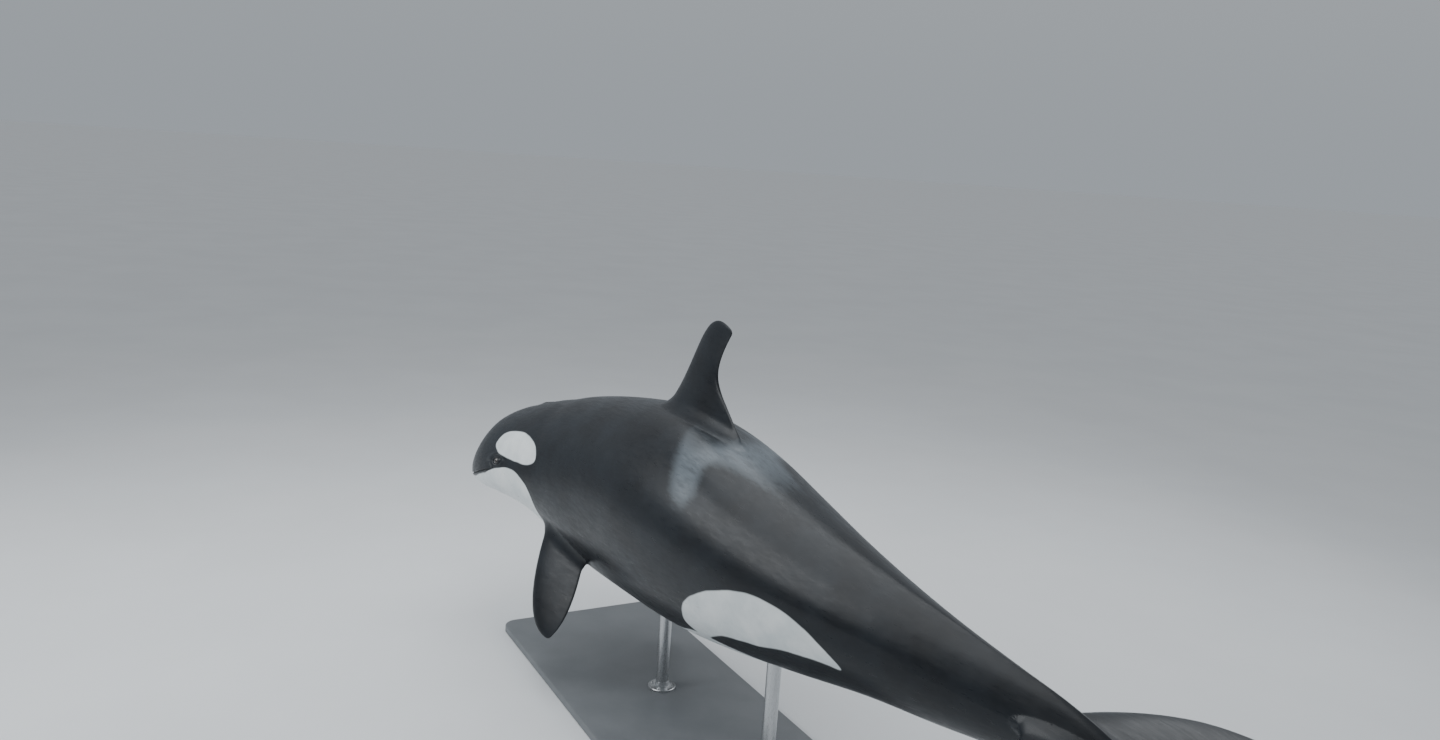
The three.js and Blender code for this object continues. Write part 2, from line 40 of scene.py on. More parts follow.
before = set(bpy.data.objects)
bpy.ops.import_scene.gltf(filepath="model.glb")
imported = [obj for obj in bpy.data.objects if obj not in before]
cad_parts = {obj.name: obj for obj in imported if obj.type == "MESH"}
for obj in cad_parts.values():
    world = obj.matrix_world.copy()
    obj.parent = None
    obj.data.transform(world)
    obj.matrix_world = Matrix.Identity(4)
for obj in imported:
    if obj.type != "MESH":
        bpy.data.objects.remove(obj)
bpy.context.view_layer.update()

# Driving dimensions of the animal, as in the solids, with angles in degrees
LENGTH = 5.6
MIDDLE = 0.45 * LENGTH
HEAD_BEND_LENGTH = 0.4 * LENGTH
TAIL_BEND_LENGTH = 0.5 * LENGTH
HEAD_DROP = 10.6
HEAD_TURN = 26.6
HEAD_ROLL = 16
ROLL_START = 0.4 * LENGTH
ROLL_LENGTH = 0.3 * LENGTH
TAIL_DROP = -3.7
TAIL_TURN = 10.1
SPINE_HEIGHT = 1.26
SPINE_STEP = 0.01
STEPS_BEYOND = 20  # samples of the spine before the snout, and as many past the flukes

# Sections of the body: distance from the snout, top, bottom, half width, height of the
# greatest width, and fullness of the upper and the lower half, where 2 is an ellipse
SECTIONS = [
    [0, -0.03, -0.03, 0, -0.03, 2, 2],
    [0.014, 0.02, -0.066, 0.048, -0.028, 2, 2],
    [0.056, 0.102, -0.112, 0.094, -0.032, 2, 2.1],
    [0.112, 0.178, -0.146, 0.138, -0.036, 2, 2.2],
    [0.196, 0.258, -0.174, 0.19, -0.038, 2, 2.2],
    [0.28, 0.318, -0.196, 0.232, -0.04, 2, 2.2],
    [0.42, 0.376, -0.23, 0.287, -0.042, 2, 2.2],
    [0.56, 0.411, -0.264, 0.33, -0.044, 2, 2.2],
    [0.7, 0.434, -0.308, 0.364, -0.044, 2.05, 2.2],
    [0.84, 0.451, -0.354, 0.392, -0.042, 2.1, 2.2],
    [1.12, 0.489, -0.458, 0.444, -0.04, 2.1, 2.2],
    [1.568, 0.536, -0.586, 0.504, -0.036, 2.1, 2.2],
    [2.016, 0.57, -0.614, 0.528, -0.028, 2.1, 2.2],
    [2.352, 0.568, -0.6, 0.524, -0.02, 2.1, 2.2],
    [2.8, 0.52, -0.556, 0.486, -0.01, 2.05, 2.2],
    [3.248, 0.43, -0.482, 0.42, 0, 2, 2.1],
    [3.696, 0.344, -0.386, 0.336, 0.01, 1.9, 2],
    [4.144, 0.276, -0.288, 0.246, 0.016, 1.75, 1.85],
    [4.48, 0.232, -0.236, 0.18, 0.022, 1.6, 1.7],
    [4.816, 0.19, -0.17, 0.122, 0.026, 1.5, 1.6],
    [5.04, 0.16, -0.122, 0.09, 0.026, 1.45, 1.6],
    [5.264, 0.104, -0.07, 0.066, 0.018, 1.5, 1.7],
    [5.4, 0.05, -0.034, 0.044, 0.008, 1.7, 1.8],
    [5.48, 0.014, -0.01, 0.018, 0.002, 1.9, 1.9],
]
STOCK_TIP_X = 5.53  # where the tail stock ends, inside the flukes
SNOUT_RING = 0.0005  # distance of the first ring from the tip of the snout
AROUND = 512  # points round a section
FINE_AROUND = 900  # samples of a half section that its points are spread over
# How many more points there are near a fold, at most, and how far around it
POINTS_AT_MOUTH = [4, 0.035]
POINTS_AT_EYE = [2, 0.08]
POINTS_AT_BLOWHOLE = [1.6, 0.11]
POINTS_AT_VENT = [1.6, 0.1]
BLOWHOLE_NEAR = 0.16  # the same reach along the body
VENT_NEAR = 0.3
HEAD_END = [0.62, 0.92]  # along the body, where the points of the head start to thin out, and its end

# Distance between rings, up to each distance from the snout
RING_SPACING = [[0.012, 0.002], [0.46, 0.0045], [0.63, 0.0028], [0.68, 0.005], [0.73, 0.0022],
                [0.96, 0.007], [1.18, 0.012], [1.7, 0.008], [3.26, 0.011], [3.52, 0.006],
                [4.85, 0.013], [5.48, 0.008]]

# A fold of the skin is a height, below 0 in a groove, a width and, where it lies off its line, how
# far off. A span is where something starts to come or go, and where that ends.
FACE_END = [0.64, 0.7]

# Mouth, at each distance from the snout the height of its line
MOUTH_LINE = [[0, -0.066], [0.06, -0.078], [0.16, -0.084], [0.28, -0.076], [0.4, -0.066], [0.476, -0.066]]
MOUTH_FADE = 0.045  # how far before and behind the corner the groove and the lips fade out
LIPS = [0.0055, 0.015]
LIP_AT_SNOUT = 0.3  # share of that height at the snout
LIP_GROWTH = 0.1  # distance from the snout at which the lips are whole
MOUTH_GROOVE = [-0.011, 0.0042]
CORNER_CREASE = [-0.004, 0.008]
CORNER_SWELL = [0.003, 0.014, 0.016]
CORNER_SLOPE = 0.3  # how steeply the crease goes down behind the corner, and how fast it curls
CORNER_CURL = 9
CORNER_START = [0, 0.015]  # behind the corner
CORNER_END = [0.02, 0.06]

# Eyes
EYE_X = 0.545
EYE_Z = -0.008
EYE_RADIUS = 0.032
EYE_SUNK = 0.02  # its centre, under the plain skin
EYE_FORWARD = 0.25  # how far it looks ahead, and down, for each unit to the side
EYE_DOWN = 0.05
CORNEA = [0.0012, 0.4]  # height, and width in radians from the pole
LID_HALF_LENGTH = 0.034
LID_HALF_HEIGHT = 0.02
SOCKET_DEPTH = 0.016
# The folds round the opening, across and at how many times its size
LID_RIM = [0.009, 0.3, 1.16]
UPPER_LID = 1.15  # share of that height
LOWER_LID = 0.8
LID_CREASE = [-0.002, 0.24, 1.9]
BROW = [0.0045, 0.8, 2.6]
POUCH = [0.003, 0.5, 2.1]
SOCKET_EDGE = [0.72, 1.02]
ALMOND = 1.7  # how pointed the opening's ends are, where 2 is an ellipse

# Blowhole
BLOWHOLE_X = 0.712
BLOWHOLE_HALF_WIDTH = 0.062
BLOWHOLE_BOW = 0.034
BLOWHOLE_SIDES = [0.0465, 0.0744]
BLOWHOLE_RIM = [0.009, 0.022]
BLOWHOLE_PLUG = [0.003, 0.012, -0.02]
BLOWHOLE_SLIT = [-0.019, 0.0085]
BLOWHOLE_MOAT = [-0.003, 0.03, 0.115]
MOAT_X = 0.702

# Folds of the belly, the tail stock and the neck
NAVEL = [-0.006, 0.016]
NAVEL_X = 2.72
NAVEL_LENGTH = 2.2  # in widths
VENT_X = 3.4
VENT_END = [0.068, 0.085]  # from its middle
VENT_LIPS = [0.004, 0.026]
VENT_SLIT = [-0.011, 0.009]
NIPPLE_X = 3.41
NIPPLE_Y = 0.055
NIPPLE_END = [0.0245, 0.035]
NIPPLE_LIPS = [0.002, 0.016]
NIPPLE_SLIT = [-0.006, 0.007]
FLANK_GROOVE = [-0.006, 0.045, 0.01]
FLANK_START = [3.3, 4]
FLANK_END = [4.75, 5.05]
NECK = [-0.006, 0.1, 1.02]
NECK_UP = [-0.1, 0.2]

# Dorsal fin, edge points as distance from the snout and height above the spine
DORSAL_LEADING = [[1.89, 0.5], [2.32, 0.85], [2.27, 1.28], [2.642, 1.112]]
DORSAL_TRAILING = [[2.85, 0.47], [2.64, 0.79], [2.32, 0.71], [2.642, 1.112]]
DORSAL_THICKNESS = 0.13  # as a share of the chord, like the other fins' thicknesses
DORSAL_FLARE = 0.1  # added to it at the root

# Flipper, edge points as distance behind its middle line and distance out from its root
FLIPPER_X = 1.4
FLIPPER_Y = 0.31
FLIPPER_Z = -0.26
FLIPPER_LEADING = [[-0.176, 0], [-0.214, 0.265], [-0.206, 0.7], [0.048, 0.768]]
FLIPPER_TRAILING = [[0.176, 0], [0.176, 0.24], [0.236, 0.62], [0.048, 0.768]]
FLIPPER_SPREAD = 20
FLIPPER_SWEEP = 14
FLIPPER_TWIST = 9
FLIPPER_THICKNESS = 0.14

# Flukes, edge points as distance from the snout and distance from the middle
FLUKE_LEADING = [[4.9, 0], [5.01, 0.23], [5.12, 0.7], [5.49, 0.815]]
FLUKE_TRAILING = [[5.596, 0], [5.69, 0.19], [5.6, 0.54], [5.49, 0.815]]
FLUKE_THICKNESS = 0.11
FLUKE_DROOP = 0.034
FLUKE_OVERLAP = 0.012  # of the two flukes at the middle, so that they join

# Every fin
SPAN_STEPS = 190
CHORD_STEPS = 44
EDGE_HALF_THICKNESS = 0.003
TIP_RADIUS = 0.025
FLARE_REACH = 0.08  # how far a fin's edges widen at its root, and how far from the body that starts
FLARE_FACES = 0.45  # how far its two faces widen, as a share of that
FLARE_CURVE = 2.5
JOINT_REACH = 0.04  # how far the last rounding of the corner reaches over the skin
JOINT_ROUNDS = 30
EDGE_ROUND = 0.03  # share of the chord over which the trailing edge rounds off

# White markings. The long one on the jaw, throat and belly reaches up to an angle from the
# belly's middle, where 90 degrees is the greatest width
WHITE_BELLY = [[0.3, 79], [0.436, 83], [0.56, 87.5], [0.7, 88.5], [0.82, 86], [0.92, 80],
               [1.0, 74], [1.05, 66], [1.09, 52], [1.14, 38], [1.22, 28], [1.36, 22], [1.52, 24], [1.62, 27],
               [1.8, 22], [2.1, 21], [2.45, 25], [2.8, 34], [3.02, 42], [3.2, 38], [3.5, 27], [3.8, 18],
               [4.0, 8], [4.08, 0], [4.2, -25], [4.4, -60]]
BELOW_LIP = 0.02  # from the line of the mouth down to the white of the jaw, twice that at the snout
BELOW_LIP_START = [0, 0.12]
JAW_TO_BELLY = [0.38, 0.48]
# The patch behind the eye and the lobe on the flank, as distance from the snout and height
EYE_PATCH = [[0.486, 0.1], [0.512, 0.152], [0.575, 0.187], [0.686, 0.198], [0.815, 0.192], [0.927, 0.166],
             [1.029, 0.123], [1.075, 0.08], [1.082, 0.032], [1.028, 0.002], [0.943, -0.013], [0.825, -0.006],
             [0.701, 0.013], [0.57, 0.042]]
FLANK_LOBE = [[2.99, -0.36], [3.003, -0.284], [3.056, -0.204], [3.147, -0.129], [3.282, -0.055],
              [3.487, 0.018], [3.645, 0.032], [3.8, 0.012], [3.948, -0.04], [4.075, -0.126],
              [3.987, -0.142], [3.843, -0.162], [3.716, -0.19], [3.568, -0.238], [3.434, -0.266],
              [3.289, -0.305], [3.16, -0.37], [3.08, -0.42]]
# The grey saddle, as distance from the snout and girth from the ridge of the back
SADDLE = [[2.46, -0.3], [2.48, 0.09], [2.52, 0.17], [2.585, 0.255], [2.66, 0.345], [2.73, 0.425],
          [2.8, 0.49], [2.875, 0.51], [2.94, 0.475], [2.955, 0.41], [2.91, 0.33], [2.87, 0.27],
          [2.88, 0.22], [2.93, 0.18], [3.01, 0.15], [3.12, 0.12], [3.25, 0.08], [3.36, 0.02], [3.4, -0.3]]
SADDLE_FADE = [2.85, 3.35]  # along the back, where the grey starts to thin out and where it ends
FIN_END = [2.66, 2.88]  # along the back, where the grey starts to climb to the ridge and where it ends
# How far the white under a fluke keeps from its edges, and how round its corners are
FLUKE_WHITE_MARGIN = 0.075
FLUKE_WHITE_ROUND = 0.035
FLUKE_WHITE_START = 4.85
FINS_START = 1  # no fin lies nearer to the snout
FIN_ABOVE = 0.012  # a place farther above or below the body is on a fin, and one farther beside it
FIN_BESIDE = 0.02
FAR_OUTSIDE = -0.2  # depth in a marking of a place that is nowhere near it


# Curves
def curve_through(at, values, where):
    """The smooth curve through the values of a table, at each of where."""
    step = np.diff(at)
    rise = np.diff(values) / step
    slope = np.concatenate([rise[:1], np.zeros(len(at) - 2), rise[-1:]])
    slope[1:-1] = (rise[:-1] * step[1:] + rise[1:] * step[:-1]) / (step[1:] + step[:-1])
    i = np.clip(np.searchsorted(at, where) - 1, 0, len(at) - 2)
    t = np.clip((where - at[i]) / step[i], 0, 1)
    start, end, whole = slope[i] * step[i], slope[i + 1] * step[i], rise[i] * step[i]
    return values[i] + t * (start + t * (3 * whole - 2 * start - end + t * (start + end - 2 * whole)))


def bezier(points, t):
    a, b, c, d = np.array(points)
    t = np.asarray(t)[..., None]
    return a * (1 - t) ** 3 + 3 * b * t * (1 - t) ** 2 + 3 * c * t**2 * (1 - t) + d * t**3


def ease(share):
    t = np.clip(share, 0, 1)
    return t * t * (3 - 2 * t)


def rising(at, span):
    """A share that grows from 0 to 1 over a span."""
    start, end = span
    return ease((at - start) / (end - start))


def fold(distance, height, width, off=0):
    """Height of a rounded ridge or groove at a distance from its line."""
    return height * np.exp(-(((distance - off) / width) ** 2))


# The bent spine
def spine_turns(x):
    head = ease((MIDDLE - x) / HEAD_BEND_LENGTH)
    tail = ease((x - MIDDLE) / TAIL_BEND_LENGTH)
    rise = np.radians(HEAD_DROP * head + TAIL_DROP * tail)
    turn = np.radians(HEAD_TURN * head + TAIL_TURN * tail)
    roll = np.radians(HEAD_ROLL) * ease((ROLL_START - x) / ROLL_LENGTH)
    return rise, turn, roll


def spine_direction(x):
    rise, turn, _ = spine_turns(x)
    return np.stack([np.cos(rise) * np.cos(turn), np.cos(rise) * np.sin(turn), np.sin(rise)], -1)


def spine_frame(x):
    """Directions along the spine, to the right and up, at each x."""
    _, turn, roll = spine_turns(x)
    along = spine_direction(x)
    level = np.stack([-np.sin(turn), np.cos(turn), np.zeros_like(turn)], -1)
    upright = np.cross(along, level)
    right = level * np.cos(roll)[..., None] - upright * np.sin(roll)[..., None]
    return along, right, np.cross(along, right)


base_low, base_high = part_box("stand_base")
BASE_FROM_MIDDLE = np.array([-0.26, -0.05])  # the base's middle from the spine's, before the shift
SPINE_MIDDLE = np.array([(base_low[0] + base_high[0]) / 2 - BASE_FROM_MIDDLE[0],
                         (base_low[1] + base_high[1]) / 2 - BASE_FROM_MIDDLE[1], SPINE_HEIGHT])
spine_stations = np.arange(-STEPS_BEYOND, round(LENGTH / SPINE_STEP) + STEPS_BEYOND + 1) * SPINE_STEP
spine_steps = spine_direction(spine_stations[:-1] + SPINE_STEP / 2) * SPINE_STEP
spine_points = np.concatenate([np.zeros((1, 3)), np.cumsum(spine_steps, 0)])
spine_points += SPINE_MIDDLE - spine_points[STEPS_BEYOND + round(MIDDLE / SPINE_STEP)]


def spine_point(x):
    return np.stack([np.interp(x, spine_stations, spine_points[:, k]) for k in range(3)], -1)


def bend(points):
    x, y, z = points[..., 0], points[..., 1:2], points[..., 2:3]
    _, right, up = spine_frame(x)
    return spine_point(x) + right * y + up * z


def turn_with(root_x, points):
    """The same for a stiff part, which turns with the spine at its root and doesn't bend."""
    along, right, up = spine_frame(np.array(root_x))
    offset = along * (points[..., :1] - root_x) + right * points[..., 1:2] + up * points[..., 2:3]
    return spine_point(np.array(root_x)) + offset


def unbend(places, rounds=12, margin=0.15):
    x = MIDDLE + (places[:, 0] - SPINE_MIDDLE[0])
    for _ in range(rounds):
        along = spine_direction(x)
        x = np.clip(x + ((places - spine_point(x)) * along).sum(1), -margin, LENGTH + margin)
    along, right, up = spine_frame(x)
    away = places - spine_point(x)
    return np.stack([x, (away * right).sum(1), (away * up).sum(1)], 1)


# Sections
section_table = np.array(SECTIONS, float)
section_roots = np.sqrt(section_table[:, 0])


def sections_at(x):
    root = np.sqrt(np.maximum(x, 0))
    return [curve_through(section_roots, section_table[:, k], root) for k in range(1, 7)]


def on_section(section, angle):
    """Points of a section at angles from its top; the width is positive up to the half turn."""
    top, bottom, half, level, upper, lower = section
    across, up = np.sin(angle), np.cos(angle)
    power = 2 / np.where(up > 0, upper, lower)
    reach = np.where(up > 0, top - level, level - bottom)
    y = half * np.sign(across) * np.abs(across) ** power
    return y, level + reach * np.sign(up) * np.abs(up) ** power


def height_share(section, z):
    """How far up or down a section z lies, from its greatest width, and the fullness there."""
    top, bottom, _, level, upper, lower = section
    reach = np.where(z > level, top - level, level - bottom)
    return np.clip(np.abs(z - level) / np.maximum(reach, 1e-6), 0, 1), np.where(z > level, upper, lower)


def half_width_at(x, z):
    section = sections_at(np.asarray(x, float))
    share, fullness = height_share(section, z)
    return section[2] * (1 - share**fullness) ** (1 / fullness)


def mouth_height_at(x):
    table = np.array(MOUTH_LINE, float)
    return curve_through(table[:, 0], table[:, 1], np.asarray(x, float))


def angle_from_belly(x, y, z):
    """Where a point of the skin lies on its section: 0 at the belly's middle, 90 at the widest."""
    section = sections_at(x)
    share, fullness = height_share(section, z)
    out = np.clip(np.abs(y) / np.maximum(section[2], 1e-6), 0, 1)
    angle = np.degrees(np.arctan2(out ** (fullness / 2), share ** (fullness / 2)))
    return np.where(z > section[3], 180 - angle, angle)


# The body's skin
def ring_stations():
    stations = [SNOUT_RING]
    for end, spacing in RING_SPACING:
        count = max(round((end - stations[-1]) / spacing), 1)
        stations += list(np.linspace(stations[-1], end, count + 1)[1:])
    return np.array(stations)


def point_density(x, y, z):
    """How close the points of a section lie: closer at the mouth, eyes, blowhole and vent."""
    face = fold(z - mouth_height_at(x), *POINTS_AT_MOUTH) + fold(z - EYE_Z, *POINTS_AT_EYE)
    face = face * (1 - rising(x, HEAD_END))
    crown = fold(y, *POINTS_AT_BLOWHOLE) * (z > 0) * fold(x, 1, BLOWHOLE_NEAR, BLOWHOLE_X)
    vent = fold(y, *POINTS_AT_VENT) * (z < 0) * fold(x, 1, VENT_NEAR, VENT_X)
    return 1 + face + crown + vent


def body_grid():
    """The points of every ring, on the straight spine."""
    stations = ring_stations()
    samples = np.linspace(0, math.pi, FINE_AROUND)
    rows = []
    for x in stations:
        section = sections_at(np.array(x))
        y, z = on_section(section, samples)
        between = samples[:-1] + np.diff(samples) / 2
        y_between, z_between = on_section(section, between)
        steps = np.hypot(np.diff(y), np.diff(z)) * point_density(x, y_between, z_between)
        walked = np.concatenate([[0], np.cumsum(steps)])
        half_ring = np.interp(np.linspace(0, walked[-1], AROUND // 2 + 1), walked, samples)
        angles = np.concatenate([half_ring, 2 * math.pi - half_ring[-2:0:-1]])
        y, z = on_section(section, angles)
        rows.append(np.stack([np.full_like(y, x), y, z], 1))
    return np.array(rows)


def grid_normals(grid):
    along = np.gradient(grid, axis=0)
    around = np.roll(grid, -1, 1) - np.roll(grid, 1, 1)
    normal = np.cross(around, along)
    normal /= np.maximum(np.linalg.norm(normal, axis=2, keepdims=True), 1e-12)
    outward = np.sign((normal[..., 1:] * (grid[..., 1:] - grid[..., 1:].mean(1, keepdims=True))).sum())
    return normal * outward


# Relief of the skin
def mouth_relief(x, z):
    from_line = z - mouth_height_at(x)
    corner = MOUTH_LINE[-1][0]
    share = 1 - ease((x - corner + MOUTH_FADE) / (2 * MOUTH_FADE))
    grown = LIP_AT_SNOUT + (1 - LIP_AT_SNOUT) * ease(x / LIP_GROWTH)
    return share * (fold(from_line, *LIPS) * grown + fold(from_line, *MOUTH_GROOVE))


def corner_fold(x, z):
    """A short crease that curls down from behind the corner of the mouth."""
    corner_x, corner_z = MOUTH_LINE[-1]
    behind = x - corner_x
    line = corner_z - CORNER_SLOPE * behind - CORNER_CURL * np.maximum(behind, 0) ** 2
    share = rising(behind, CORNER_START) * (1 - rising(behind, CORNER_END))
    return share * (fold(z - line, *CORNER_CREASE) + fold(z - line, *CORNER_SWELL))


def lid_relief(x, z):
    """An almond opening with a raised rim, heavier above, a crease over it and a low brow."""
    along, up = (x - EYE_X) / LID_HALF_LENGTH, (z - EYE_Z) / LID_HALF_HEIGHT
    reach = np.sqrt(np.abs(along) ** ALMOND + up**2)
    rim = fold(reach, *LID_RIM) * np.where(up > 0, UPPER_LID, LOWER_LID)
    crease = fold(reach, *LID_CREASE) * ease(up + 0.4)
    brow = fold(reach, *BROW) * ease(up + 0.2)
    pouch = fold(reach, *POUCH) * ease(-up)
    return rim + crease + brow + pouch - SOCKET_DEPTH * (1 - rising(reach, SOCKET_EDGE))


def blowhole_relief(x, y, z):
    line = BLOWHOLE_X - BLOWHOLE_BOW * (y / BLOWHOLE_HALF_WIDTH) ** 2
    folds = fold(x - line, *BLOWHOLE_RIM) + fold(x - line, *BLOWHOLE_PLUG) + fold(x - line, *BLOWHOLE_SLIT)
    folds = folds * (1 - rising(np.abs(y), BLOWHOLE_SIDES))
    return (folds + fold(np.hypot(x - MOAT_X, y), *BLOWHOLE_MOAT)) * (z > 0)


def belly_relief(x, y, z):
    vent = 1 - rising(np.abs(x - VENT_X), VENT_END)
    folds = vent * (fold(y, *VENT_LIPS) + fold(y, *VENT_SLIT))
    beside = 1 - rising(np.abs(x - NIPPLE_X), NIPPLE_END)
    for side in (-1, 1):
        from_slit = y - side * NIPPLE_Y
        folds = folds + beside * (fold(from_slit, *NIPPLE_LIPS) + fold(from_slit, *NIPPLE_SLIT))
    navel = fold(np.hypot((x - NAVEL_X) / NAVEL_LENGTH, y), *NAVEL)
    return (z < 0) * (folds + navel)


def muscle_relief(x, z):
    """The groove between back and belly muscles on the tail stock, and the soft neck."""
    level = np.interp(x, section_table[:, 0], section_table[:, 4])
    groove = rising(x, FLANK_START) * (1 - rising(x, FLANK_END)) * fold(z - level, *FLANK_GROOVE)
    return groove + fold(x, *NECK) * rising(z, NECK_UP)


def relief(x, y, z):
    """How far the skin stands out from the plain section."""
    face = mouth_relief(x, z) + corner_fold(x, z) + lid_relief(x, z)
    face = face * (1 - rising(x, FACE_END))
    return face + blowhole_relief(x, y, z) + belly_relief(x, y, z) + muscle_relief(x, z)


def circle(sides):
    turn = np.linspace(0, 2 * math.pi, sides, endpoint=False)
    return np.stack([np.cos(turn), np.sin(turn), 0 * turn], 1)


def mesh_object(name, points, faces):
    mesh = bpy.data.meshes.new(name)
    mesh.from_pydata(np.asarray(points).tolist(), [], np.asarray(faces).tolist())
    mesh.update()
    piece = bpy.data.objects.new(name, mesh)
    bpy.context.scene.collection.objects.link(piece)
    return piece


def dress(piece, material, slot, *nodes):
    """Gives a piece its material and body, and hides the nodes that it takes the place of; slot is not used.
    """
    piece.data.materials.append(material)
    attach(piece, "root")
    if nodes:
        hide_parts(*nodes)


def skin_rings(rows, tip_first=None, tip_last=None):
    """Points and triangles of a closed solid over rings of points, with a pole at each end."""
    count, around = rows.shape[0], rows.shape[1]
    points = rows.reshape(-1, 3)
    i = np.arange(around)
    after = (i + 1) % around
    triangles = []
    for r in range(count - 1):
        low, high = r * around, (r + 1) * around
        triangles.append(np.stack([low + i, low + after, high + i], 1))
        triangles.append(np.stack([low + after, high + after, high + i], 1))
    first = rows[0].mean(0) if tip_first is None else tip_first
    last = rows[-1].mean(0) if tip_last is None else tip_last
    points = np.concatenate([points, [first, last]])
    poles = np.full(around, len(points) - 2)
    triangles.append(np.stack([poles, after, i], 1))
    end = (count - 1) * around
    triangles.append(np.stack([poles + 1, end + i, end + after], 1))
    triangles = np.concatenate(triangles)
    a, b, c = (points[triangles[:, k]] for k in range(3))
    if (a * np.cross(b, c)).sum() < 0:
        triangles = triangles[:, ::-1]
    return points, triangles


def build_body():
    grid = body_grid()
    x, y, z = (grid[..., k] for k in range(3))
    grid = grid + grid_normals(grid) * relief(x, y, z)[..., None]
    snout = np.array([-SNOUT_RING, 0, SECTIONS[0][1]])
    end = np.array([STOCK_TIP_X, 0, 0])
    points, triangles = skin_rings(bend(grid), bend(snout), bend(end))
    return mesh_object("body", points, triangles)


# Fins
def foil(u):
    """Half thickness of a fin section over its chord, from 0 to 1, for a thickness of 1."""
    return 5 * (0.2969 * np.sqrt(u) - 0.126 * u - 0.3516 * u**2 + 0.2843 * u**3 - 0.1015 * u**4)


def round_tip(front, back, tip, radius):
    """Rounds the corner where the edges of a fin meet, and gives its new end."""
    chord = np.linalg.norm(back - front, axis=1)
    last = np.flatnonzero(chord > 1.5 * radius)[-1]
    middle = (front[last] + back[last]) / 2
    reach = np.linalg.norm(tip - middle)
    half_angle = math.atan2(chord[last] / 2, reach)
    towards = (tip - middle) / reach
    radius = chord[last] / 2 / math.cos(half_angle)
    centre = tip - towards * radius / math.sin(half_angle)
    turn = (math.pi / 2 - half_angle) * (1 - np.linspace(0, 1, len(front) - last + 1)[:-1])
    across = (back[last] - front[last]) / chord[last]
    ahead = centre + towards * radius * np.cos(turn)[:, None]
    out = across * radius * np.sin(turn)[:, None]
    front[last:], back[last:] = ahead - out, ahead + out
    return centre + towards * radius


def blade(name, leading, trailing, thickness_at, place):
    """A fin between two edges, with a rounded tip, laid in its place by place()."""
    v = np.sin(np.linspace(0, math.pi / 2, SPAN_STEPS + 1))[:-1]
    front, back = bezier(leading, v), bezier(trailing, v)
    end = round_tip(front, back, np.array(leading[3], float), TIP_RADIUS)
    chord = np.linalg.norm(back - front, axis=1)
    u = (1 - np.cos(np.linspace(0, math.pi, CHORD_STEPS + 1))) / 2
    rounding = np.sqrt(np.clip((1 - u) / EDGE_ROUND, 0, 1))
    rows, flats = [], []
    for k in range(SPAN_STEPS):
        at = front[k] + (back[k] - front[k]) * u[:, None]
        half = (chord[k] * thickness_at(v[k]) * foil(u) + EDGE_HALF_THICKNESS * u) * rounding
        upper = np.column_stack([at, half])
        lower = np.column_stack([at, -half])[-2:0:-1]
        rows.append(place(np.concatenate([upper, lower])))
        middle = np.append(at.mean(0), 0)
        flat = place(np.array([middle + [0, 0, 0.01]])) - place(np.array([middle]))
        flats.append(np.repeat(flat / np.linalg.norm(flat), len(rows[-1]), 0))
    tip = place(np.array([[*end, 0]]))[0]
    points, triangles = skin_rings(np.array(rows), tip_last=tip)
    fin = mesh_object(name, points, triangles)
    ends = np.array([flats[0][0], flats[-1][0]])
    add_attribute(fin.data, "flat", np.concatenate([*flats, ends]))
    return fin


def build_dorsal_fin():
    def thickness_at(v):
        return DORSAL_THICKNESS + DORSAL_FLARE * max(1 - 4 * v, 0) ** 2

    def place(points):
        return bend(points[:, [0, 2, 1]])

    return blade("dorsal", DORSAL_LEADING, DORSAL_TRAILING, thickness_at, place)


def build_flipper(side):
    sweep, spread = math.radians(FLIPPER_SWEEP), math.radians(FLIPPER_SPREAD)
    level = math.cos(sweep)
    out = np.array([math.sin(sweep), side * level * math.sin(spread), -level * math.cos(spread)])
    back = np.array([1, 0, 0]) - out * out[0]
    twist = Matrix.Rotation(math.radians(side * FLIPPER_TWIST), 3, Vector(out))
    back = np.array(twist @ Vector(back / np.linalg.norm(back)))
    across = np.cross(out, back)
    root = np.array([FLIPPER_X, side * FLIPPER_Y, FLIPPER_Z])

    def place(points):
        at = root + points[:, :1] * back + points[:, 1:2] * out + points[:, 2:3] * across
        return turn_with(FLIPPER_X, at)

    return blade("flipper", FLIPPER_LEADING, FLIPPER_TRAILING, lambda v: FLIPPER_THICKNESS, place)


def fluke_middle(x, out):
    """Height of a fluke's middle layer."""
    level = np.interp(x, section_table[:, 0], section_table[:, 4])
    return level - FLUKE_DROOP * (out / FLUKE_LEADING[3][1]) ** 2


def build_fluke(side):
    def place(points):
        x, out, offset = points[:, 0], points[:, 1], points[:, 2]
        y = side * (out - FLUKE_OVERLAP)
        return bend(np.stack([x, y, fluke_middle(x, np.maximum(out, 0)) + offset], 1))

    return blade("fluke", FLUKE_LEADING, FLUKE_TRAILING, lambda v: FLUKE_THICKNESS, place)


def remove_pockets(mesh):
    """Removes small closed shells left where fins overlap the body or each other."""
    edited = bmesh.new()
    edited.from_mesh(mesh)
    waiting = [max(edited.verts, key=lambda vertex: vertex.co.z)]
    reached = set(waiting)
    while waiting:
        vertex = waiting.pop()
        found = {edge.other_vert(vertex) for edge in vertex.link_edges} - reached
        reached |= found
        waiting.extend(found)
    apart = [vertex for vertex in edited.verts if vertex not in reached]
    bmesh.ops.delete(edited, geom=apart, context="VERTS")
    edited.to_mesh(mesh)
    edited.free()


def joined(body, fins):
    """One closed skin over the body and its fins."""
    for fin in fins:
        union = body.modifiers.new("union", "BOOLEAN")
        union.operation = "UNION"
        union.solver = "MANIFOLD"
        union.object = fin
    bpy.context.view_layer.update()
    whole = bpy.data.meshes.new_from_object(body.evaluated_get(bpy.context.evaluated_depsgraph_get()))
    for piece in [body, *fins]:
        bpy.data.objects.remove(piece)
    skin = bpy.data.objects.new("skin", whole)
    bpy.context.scene.collection.objects.link(skin)
    return skin


